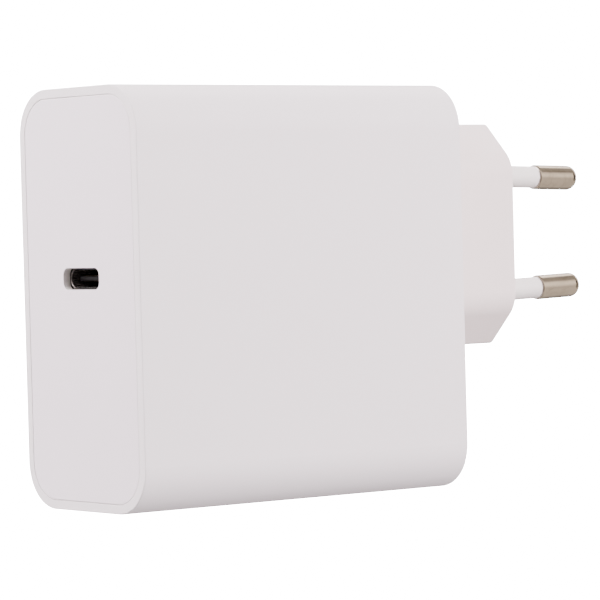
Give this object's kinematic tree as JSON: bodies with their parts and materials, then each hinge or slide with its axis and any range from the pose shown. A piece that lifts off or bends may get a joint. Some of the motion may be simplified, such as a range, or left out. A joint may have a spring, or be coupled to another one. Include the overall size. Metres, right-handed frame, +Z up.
{
  "type": "wall-plug power adapter",
  "caption": "White wall-plug power adapter: a deep rounded case with a USB-C outlet in one end and a fixed two-pin Europlug foot on the other.",
  "frame": {"origin": "below the middle of the overall length (outlet face to pin tips), centred across the case, at the level of the narrow side that the case stands on", "axes": "+X along the plug pins, away from the outlet face; +Y across the case's thickness; +Z up, towards the narrow side nearer the plug foot"},
  "size_m": [0.0982, 0.0306, 0.0626],
  "materials": {
    "white_case": "satin white polycarbonate",
    "white_plate": "satin white polycarbonate",
    "white_foot": "satin white thermoplastic",
    "white_sleeve": "matt white insulation",
    "nickel_pin": "nickel-plated, fine turned",
    "strip_brass": "stamped strip",
    "board_green": "glass-epoxy laminate with solder mask",
    "socket_steel": "drawn stainless steel",
    "socket_black": "moulded liquid crystal polymer",
    "contact_gold": "gold-plated",
    "package_black": "moulded epoxy",
    "ferrite": "sintered ferrite",
    "copper_wire": "enamelled copper wire",
    "bobbin_black": "moulded phenolic",
    "tape_yellow": "polyester tape",
    "can_aluminium": "deep-drawn can",
    "can_sleeve": "can in a shrunk black sleeve",
    "lacquer_blue": "epoxy dip",
    "lacquer_green": "epoxy dip",
    "box_yellow": "moulded capacitor box",
    "plate_aluminium": "rolled sheet",
    "film_clear": "insulating film",
    "pad_grey": "silicone gap filler"
  },
  "bodies": {
    "root": {"main_shell": "white_case", "port_plate": "white_plate", "plug_foot": "white_foot", "pin_upper": "nickel_pin", "pin_lower": "nickel_pin", "sleeve_upper": "white_sleeve", "sleeve_lower": "white_sleeve", "contact_strip_upper": "strip_brass", "contact_strip_lower": "strip_brass", "main_board": "board_green", "port_board": "board_green", "port_chip": "package_black", "usb_shell": "socket_steel", "usb_block": "socket_black", "usb_contacts_upper": "contact_gold", "usb_contacts_lower": "contact_gold", "heat_plate": "plate_aluminium", "plate_sheet": "film_clear", "solder_sheet": "film_clear", "thermal_pad": "pad_grey", "choke_core": "ferrite", "choke_winding_upper": "copper_wire", "choke_winding_lower": "copper_wire", "choke_base": "bobbin_black", "filter_capacitor": "box_yellow", "varistor": "lacquer_blue", "thermistor": "lacquer_green", "fuse": "package_black", "bridge_rectifier": "package_black", "bulk_capacitor_1": "can_sleeve", "bulk_capacitor_2": "can_sleeve", "bulk_capacitor_3": "can_sleeve", "ferrite_lower": "ferrite", "ferrite_upper": "ferrite", "bobbin": "bobbin_black", "winding": "copper_wire", "winding_tape": "tape_yellow", "heat_sink": "plate_aluminium", "transistor": "package_black", "sink_screw": "socket_steel", "safety_capacitor": "lacquer_blue", "optocoupler": "package_black", "control_chip": "package_black", "output_capacitor_1": "can_aluminium", "output_capacitor_2": "can_aluminium", "output_sink": "plate_aluminium", "output_rectifier": "package_black"}
  },
  "joints": []
}
